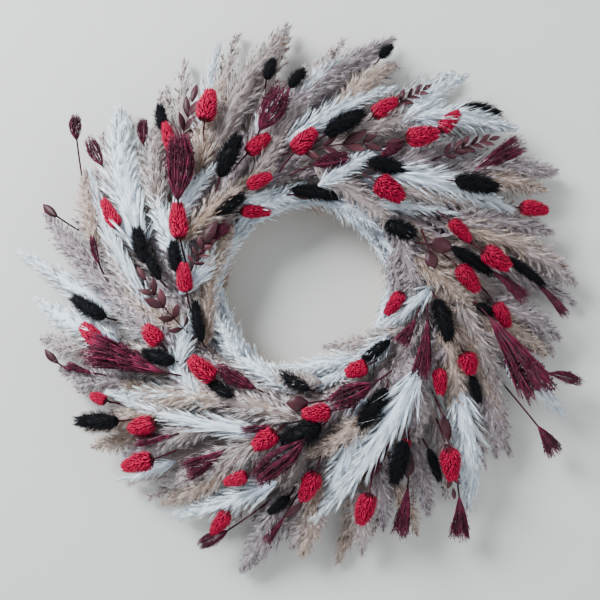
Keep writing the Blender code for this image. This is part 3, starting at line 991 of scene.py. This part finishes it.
def add_plume_group(name, plumes, kind, shade):
    meshes = []
    for number, (x0, y0, x1, y1, width, lift) in enumerate(plumes):
        start = on_dome(x0, y0, lift * MM)
        end = on_dome(x1, y1, (lift - TIP_DROP) * MM)
        foot = start + (start - end).normalized() * FOOT_BACK
        foot.z = start.z - FOOT_DROP
        path = [foot] + bowed(start, end, PLUME_BOW)
        meshes.append(plume_on(path, width * MM * ADDED_WIDENING[kind], kind, number))
    return add_piece(name, meshes, shade)


faces = 0
for number in range(2):
    plumes = WHITE_PLUMES[number::2]
    faces += add_plume_group(f"white_plumes_added_{number + 1}", plumes, "white", "white")
for number, shade in enumerate(NATURAL_SHADES):
    plumes = NATURAL_PLUMES[number :: len(NATURAL_SHADES)]
    faces += add_plume_group(f"{shade}_plumes_added", plumes, "natural", shade)
print("added plumes", len(WHITE_PLUMES) + len(NATURAL_PLUMES), "faces", faces)

# %% [markdown]
# ## Under layers
# On the real wreath, the first bunches are almost hidden, but they cover the ring and fill
# the shadows between the plumes on top. Even rounds of plainer plumes stand in for them: one
# out to the rim, two over the inner edge, two on the wall of the hole and one on the crest.

# %% Under layers that hide the ring
RIM_BED = 46
EDGE_BED = 42
WALL_BED = 18


def make_bed(name, count, kind, seed, inner, lean, reach, width, height, shade=None):
    """A round of plumes, each leaning clockwise from its bound end.

    inner is the bound end's radius, reach how much farther out the tip is, width a plume's
    and height the ends' two heights, all in mm. lean is an angle in degrees.
    """
    random.seed(seed)
    meshes = []
    for number in range(count):
        angle = 2 * math.pi * (number + random.uniform(-0.3, 0.3)) / count
        start_radius = inner + random.uniform(-5, 5)
        end_radius = start_radius + reach * random.uniform(0.9, 1.08)
        turn = math.radians(lean + random.uniform(-5, 5))
        tip_angle = angle - turn
        outward = Vector((math.cos(angle), math.sin(angle), 0))
        tip_outward = Vector((math.cos(tip_angle), math.sin(tip_angle), 0))
        start = RING_CENTRE + outward * start_radius * MM
        end = RING_CENTRE + tip_outward * end_radius * MM
        start.z = (height[0] + random.uniform(-3, 3)) * MM
        end.z = (height[1] + random.uniform(-3, 3)) * MM
        path = bowed(start, end, PLUME_BOW)
        path[1].z = max(start.z, end.z) * 0.92
        wide = width * MM * random.uniform(0.9, 1.12)
        meshes.append(plume_on(path, wide, kind, number, bed_plumes[kind]))
    return add_piece(name, meshes, shade or kind)


bed = make_bed(
    "rim_bed", RIM_BED, "natural", 81, inner=120, lean=26, reach=112, width=35, height=(40, 13)
)
bed += make_bed(
    "edge_bed_natural", EDGE_BED, "natural", 82, inner=96, lean=42, reach=17, width=24, height=(30, 50)
)
bed += make_bed(
    "edge_bed_white", EDGE_BED // 2, "white", 83, inner=84, lean=48, reach=10, width=20, height=(26, 47)
)
bed += make_bed(
    "wall_bed_natural", WALL_BED, "natural", 85, inner=83, lean=46, reach=-1, width=19, height=(16, 30),
    shade="tan",
)
bed += make_bed(
    "wall_bed_white", WALL_BED, "white", 86, inner=84, lean=46, reach=-2, width=18, height=(30, 36)
)
bed += make_bed(
    "crest_bed", EDGE_BED, "natural", 84, inner=104, lean=34, reach=42, width=29, height=(52, 50),
    shade="mauve",
)
print("bed faces", bed)

# %% [markdown]
# ## Heads, tails, brooms and sprigs
# The framed ones lie along their solids' paths. Each shows its head at the path's end, and a
# thin stalk that dives from it into the plumes. The added ones are listed: angle and
# radius of the middle from the ring's centre, the way the tip points, its length and its
# width. Angles are in degrees, counted from +X, and the rest is in mm.

# %% Framed heads
STALK_LENGTH = 100 * MM
STALK_THICKNESS = 1.7 * MM
STALK_START = 3 * MM
STALK_BEND = 0.45
STALK_MIDDLE_DROP = 0.25


def make_stalk(name, sides=5, steps=9):
    """A straight rod along +X, cut into steps so that it can bend."""
    mesh = bmesh.new()
    radius = STALK_THICKNESS / 2
    bmesh.ops.create_cone(
        mesh, cap_ends=True, segments=sides, radius1=radius, radius2=radius, depth=STALK_LENGTH
    )
    bmesh.ops.rotate(mesh, verts=mesh.verts, matrix=Matrix.Rotation(math.pi / 2, 3, "Y"))
    bmesh.ops.translate(mesh, verts=mesh.verts, vec=(STALK_LENGTH / 2, 0, 0))
    for step in range(1, steps):
        everything = list(mesh.verts) + list(mesh.edges) + list(mesh.faces)
        cut = (STALK_LENGTH * step / steps, 0, 0)
        bmesh.ops.bisect_plane(mesh, geom=everything, plane_co=cut, plane_no=(1, 0, 0))
    bmesh.ops.recalc_face_normals(mesh, faces=mesh.faces)
    add_length_map(mesh, 0.0, STALK_LENGTH)
    return to_mesh(mesh, name)


stalk = make_stalk("stalk")
KINDS = {
    "tail": (tails, TAIL_LENGTH, TAIL_HALF, "black"),
    "head": (heads, HEAD_LENGTH, HEAD_HALF, "red"),
    "fan": (open_brooms, BROOM_LENGTH, BROOM_HALF, "burgundy"),
    "cage": (closed_brooms, BROOM_LENGTH, BROOM_HALF, "burgundy"),
    "sprig": (sprigs, SPRIG_LENGTH, SPRIG_HALF, "leaf"),
    "leaf": ([single_leaf], LEAF_LENGTH, LEAF_HALF, "leaf"),
}


STALK_TAIL = 20 * MM
STALK_DIVE = 20 * MM
LONG_STALK = 48 * MM
SHORT_STALK = 7 * MM
LOW_DIVE = 9 * MM
BARE_RADIUS = 214


def dive(head_path, tail, drop=STALK_DIVE):
    """The stalk behind a head, which runs back and down into the plumes."""
    start = head_path[0]
    back = (start - head_path[1]).normalized()
    foot = start + back * tail
    foot.z = max(start.z - drop, FLOOR_CLEARANCE)
    middle = start + back * tail * STALK_BEND
    middle.z = start.z - STALK_MIDDLE_DROP * drop
    return lay_along(stalk, [start - back * STALK_START, middle, foot], STALK_LENGTH, 1.0)


def plant_on(kind, path, width, number, flat=1.0):
    """A head of that kind along a path. Leaves keep their face up, the rest are turned."""
    templates, length, half, _ = KINDS[kind]
    turn = 0.0 if kind in ("sprig", "leaf") else TEMPLATE_TURN * number
    return lay_along(pick(templates, number), path, length, width / (2 * half), turn, flat)


FRAMED = {
    "black_bunny_tail": ("tail", 41 * MM, 18 * MM),
    "red_phalaris_head": ("head", 31 * MM, 18 * MM),
    "burgundy_broom": ("cage", 56 * MM, 30 * MM),
    "leaf_sprig": ("sprig", 66 * MM, 22 * MM),
}
BROOM_FLATNESS = 0.8
OTHER_BROOMS = {
    "burgundy_broom_01": ("fan", 84 * MM, 40 * MM),
    "burgundy_broom_02": ("cage", 44 * MM, 24 * MM),
    "burgundy_broom_04": ("fan", 72 * MM, 35 * MM),
}
stalks = []
for number, name in enumerate(sorted(nodes)):
    base = name.rsplit("_", 1)[0]
    if base not in FRAMED:
        continue
    kind, length, width = OTHER_BROOMS.get(name, FRAMED[base])
    path = node_path(name, 8)
    head_path = last_part(path, length)
    flat = BROOM_FLATNESS if kind in ("fan", "cage") else 1.0
    part = plant_on(kind, head_path, width, number, flat)
    add_piece(f"{name}_detail", [part], KINDS[kind][3], name)
    stalks.append(dive(head_path, STALK_TAIL))
print("framed heads", len(stalks))

# %% Where the added ones go
TAILS = [
    (55, 129, -15, 37, 15), (83, 84, -10, 44, 14), (45, 228, -10, 35, 11), (31, 98, -20, 28, 19),
    (9, 149, -33, 44, 13), (4, 198, -35, 46, 10), (71, 226, 45, 17, 10), (92, 187, 50, 22, 12),
    (99, 198, 70, 21, 12), (132, 97, 35, 31, 12), (130, 200, 100, 25, 12), (165, 150, 105, 34, 15),
    (172, 134, 115, 26, 11), (166, 117, 95, 28, 14), (185, 194, 150, 37, 16), (197, 98, 100, 37, 12),
    (205, 143, 165, 31, 15), (268, 128, 200, 39, 22), (230, 115, 150, 26, 12), (263, 83, 150, 30, 12),
    (263, 195, 220, 25, 11), (317, 83, 215, 34, 11), (299, 121, 235, 42, 18), (306, 196, 290, 33, 10),
    (329, 176, 290, 26, 10), (353, 160, 330, 18, 10),
]
HEADS = [
    (90, 128, 45, 29, 18), (66, 174, 35, 28, 15), (49, 196, 45, 27, 14), (49, 112, -35, 31, 20),
    (19, 218, -5, 28, 15), (20, 145, -45, 27, 13), (3, 143, -50, 30, 16), (350, 80, 235, 26, 13),
    (352, 176, 300, 26, 14), (335, 158, 290, 21, 18), (325, 144, 275, 25, 13), (271, 176, 245, 30, 17),
    (302, 85, 200, 22, 16), (275, 109, 185, 27, 16), (302, 165, 250, 16, 9), (255, 138, 215, 26, 18),
    (250, 180, 200, 23, 13), (250, 225, 235, 27, 14), (220, 190, 195, 26, 17), (208, 210, 160, 17, 11),
    (192, 195, 135, 25, 16), (197, 140, 130, 22, 17), (218, 114, 140, 30, 18), (175, 105, 95, 28, 14),
    (152, 125, 95, 34, 17), (159, 185, 120, 31, 13), (132, 180, 107, 29, 12), (108, 132, 40, 27, 14),
    (113, 101, 25, 25, 13), (123, 80, 0, 28, 12),
]
CAGES = [
    (233, 99, 150, 39, 18), (145, 254, 93, 23, 15), (147, 225, 118, 30, 13), (136, 201, 92, 24, 12),
    (294, 101, 205, 41, 26), (79, 113, 15, 34, 18), (58, 142, 30, 24, 10), (250, 241, 210, 30, 15),
    (341, 250, 345, 34, 13), (170, 189, 105, 26, 9),
]
FANS = [
    (152, 91, 50, 36, 12), (200, 214, 165, 30, 10), (225, 189, 190, 34, 14), (240, 177, 210, 40, 20),
    (251, 130, 190, 28, 10), (263, 218, 235, 31, 10), (333, 116, 262, 51, 20), (337, 98, 240, 26, 15),
    (328, 260, 305, 32, 18), (295, 160, 245, 46, 12), (294, 219, 262, 45, 20), (304, 251, 272, 40, 20),
    (34, 207, 32, 56, 20), (1, 180, -38, 42, 14), (358, 220, -45, 46, 11),
]
SPRIGS = [
    (129, 170, 79, 78, 22), (75, 128, 6, 84, 22), (201, 166, 163, 48, 20), (160, 96, 60, 34, 18),
    (62, 188, 33, 46, 16), (309, 205, 282, 50, 16), (41, 190, 20, 52, 16),
]
LEAVES = [
    (163, 242, 140, 18, 8), (195, 238, 135, 18, 7), (266, 101, 180, 19, 14), (17, 124, -10, 23, 14),
    (12, 112, 280, 19, 12), (90, 82, -5, 20, 9), (315, 176, 285, 25, 9), (300, 183, 265, 22, 10),
    (150, 96, 60, 25, 10), (267, 197, 225, 24, 8),
]
LIFTS = {"tail": 12, "head": 14, "cage": 13, "fan": 12, "sprig": 13, "leaf": 14}
LOW_RADIUS = 200
LOW_SHARE = 0.75
HEAD_BOW = 0.03


def place_plants(kind, places, first):
    """Lays each plant on the dome and runs its stalk back and down among the plumes."""
    meshes = []
    for number, (angle, radius, heading, length, width) in enumerate(places):
        x = radius * math.cos(math.radians(angle))
        y = radius * math.sin(math.radians(angle))
        step_x = length / 2 * math.cos(math.radians(heading))
        step_y = length / 2 * math.sin(math.radians(heading))
        lift = LIFTS[kind] * MM * (1.0 if radius < LOW_RADIUS else LOW_SHARE)
        start = on_dome(x - step_x, y - step_y, lift)
        end = on_dome(x + step_x, y + step_y, lift)
        path = bowed(start, end, HEAD_BOW)
        meshes.append(plant_on(kind, path, width * MM, first + number))
        if radius > BARE_RADIUS and kind in ("cage", "fan", "head"):
            stalks.append(dive(path, LONG_STALK, LOW_DIVE))
        elif kind == "tail":
            stalks.append(dive(path, SHORT_STALK))
        else:
            stalks.append(dive(path, STALK_TAIL))
    return meshes


# %% Laying them
def add_plants(name, kind, places, first, group):
    """Pieces of one kind, with up to a group of plants in each. Counts their faces."""
    count = 0
    for start in range(0, len(places), group):
        meshes = place_plants(kind, places[start : start + group], first + start)
        count += add_piece(f"{name}_{start // group + 1}", meshes, KINDS[kind][3])
    return count


print("tails", add_plants("added_tails", "tail", TAILS, first=3, group=13))
print("heads", add_plants("added_heads", "head", HEADS, first=1, group=15))
print("cages", add_plants("added_closed_brooms", "cage", CAGES, first=2, group=10))
print("fans", add_plants("added_open_brooms", "fan", FANS, first=5, group=15))
print("sprigs", add_plants("added_sprigs", "sprig", SPRIGS, first=0, group=7))
print("leaves", add_plants("added_leaves", "leaf", LEAVES, first=0, group=10))
print("stalks", add_piece("stalks", stalks, "stalk"))

# %% [markdown]
# ## Straw ring, wire and eye
# The ring, the wire and the eye keep their frame shapes and get finishes of their own: long
# streaks of straw from a stretched noise, green lacquered wire and galvanised steel. The ring
# is also wrapped in loose straws that run round it, because a straw roll is never smooth.
# They stay off its flat back.

# %% Straw, wire and steel
STRAW_STRETCH = (1.0, 1.0, 6.0)
STRAW_STREAKS = 90
straw_finish = bpy.data.materials.new("bound_straw")
straw_finish.use_nodes = True
straw_tree = straw_finish.node_tree
straw_shader = straw_tree.nodes["Principled BSDF"]
straw_place = straw_tree.nodes.new("ShaderNodeTexCoord")
straw_mapping = straw_tree.nodes.new("ShaderNodeMapping")
straw_mapping.inputs["Scale"].default_value = STRAW_STRETCH
straw_noise = straw_tree.nodes.new("ShaderNodeTexNoise")
straw_noise.inputs["Scale"].default_value = STRAW_STREAKS
straw_noise.inputs["Detail"].default_value = 6
straw_ramp = straw_tree.nodes.new("ShaderNodeValToRGB")
straw_ramp.color_ramp.elements[0].position = 0.35
straw_ramp.color_ramp.elements[0].color = (0.24, 0.14, 0.05, 1)
straw_ramp.color_ramp.elements[1].position = 0.65
straw_ramp.color_ramp.elements[1].color = (0.62, 0.45, 0.20, 1)
straw_bump = straw_tree.nodes.new("ShaderNodeBump")
straw_bump.inputs["Strength"].default_value = 0.6
straw_bump.inputs["Distance"].default_value = 0.002
straw_link = straw_tree.links.new
straw_link(straw_place.outputs["Object"], straw_mapping.inputs["Vector"])
straw_link(straw_mapping.outputs["Vector"], straw_noise.inputs["Vector"])
straw_link(straw_noise.outputs["Fac"], straw_ramp.inputs["Fac"])
straw_link(straw_ramp.outputs["Color"], straw_shader.inputs["Base Color"])
straw_link(straw_noise.outputs["Fac"], straw_bump.inputs["Height"])
straw_link(straw_bump.outputs["Normal"], straw_shader.inputs["Normal"])
straw_shader.inputs["Roughness"].default_value = 0.8


def make_metal(name, colour, metallic, roughness, scratch_scale):
    """A wire whose gloss changes a little along it."""
    material = bpy.data.materials.new(name)
    material.use_nodes = True
    tree = material.node_tree
    shader = tree.nodes["Principled BSDF"]
    place = tree.nodes.new("ShaderNodeTexCoord")
    noise = tree.nodes.new("ShaderNodeTexNoise")
    noise.inputs["Scale"].default_value = scratch_scale
    rough = tree.nodes.new("ShaderNodeMapRange")
    rough.inputs["To Min"].default_value = roughness - 0.1
    rough.inputs["To Max"].default_value = roughness + 0.15
    tree.links.new(place.outputs["Object"], noise.inputs["Vector"])
    tree.links.new(noise.outputs["Fac"], rough.inputs["Value"])
    tree.links.new(rough.outputs["Result"], shader.inputs["Roughness"])
    shader.inputs["Base Color"].default_value = (*colour, 1.0)
    shader.inputs["Metallic"].default_value = metallic
    return material


def dress(node, material):
    """Gives a frame piece its finish."""
    mesh = nodes[node].data
    mesh.materials.clear()
    mesh.materials.append(material)


dress("straw_ring_base", straw_finish)
green_wire = make_metal(
    "green_florist_wire", (0.035, 0.06, 0.025), metallic=0.3, roughness=0.4, scratch_scale=400
)
grey_wire = make_metal(
    "galvanised_wire", (0.45, 0.45, 0.46), metallic=1.0, roughness=0.35, scratch_scale=300
)
dress("binding_wire", green_wire)
dress("hanger_wire_eye", grey_wire)
print("dressed the ring, the wire and the eye")

# %% Loose straws round the ring
STRAWS = 900
RING_HALF_WIDTH = 22.5 * MM
RING_FOOT = 7 * MM
ring_middle = RING_OUTER - RING_HALF_WIDTH
random.seed(71)
straw_blades = []
for _ in range(STRAWS):
    angle = random.uniform(0, 2 * math.pi)
    swing = math.radians(random.uniform(8, 172))
    span = random.uniform(0.14, 0.26)
    offset = random.uniform(0.2, 1.4) * MM
    ends = []
    for turn, drift in ((angle, 0.0), (angle + span, random.uniform(-0.12, 0.12))):
        across = ring_middle + (RING_HALF_WIDTH + offset) * math.cos(swing + drift)
        height = RING_FOOT + (RING_TOP - RING_FOOT + offset) * math.sin(swing + drift)
        end = Vector((across * math.cos(turn), across * math.sin(turn), height))
        ends.append(RING_CENTRE + end)
    width = random.uniform(0.5, 0.9) * MM
    straw_blades.append((aim(ends[0], ends[1], width), random.random()))
STRAW_COLOURS = ((0.32, 0.20, 0.08), (0.60, 0.44, 0.20), (0.40, 0.26, 0.11))
finishes["straw"] = make_finish(
    "loose_straw", STRAW_COLOURS, spread=0.35, tint_amount=0.5, root_reach=0.9, roughness=0.7,
    sheen=0.0, patches=30,
)
print("straws", add_piece("loose_straws", [make_tuft("straws", straw_blades)], "straw"))

size = {"cad": [list(corner) for corner in cad_box], "visual": [list(corner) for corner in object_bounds()]}
cad_size = [round(1000 * (high - low)) for low, high in zip(*size["cad"])]
visual_size = [round(1000 * (high - low)) for low, high in zip(*size["visual"])]
print("cad mm", cad_size, "visual mm", visual_size)
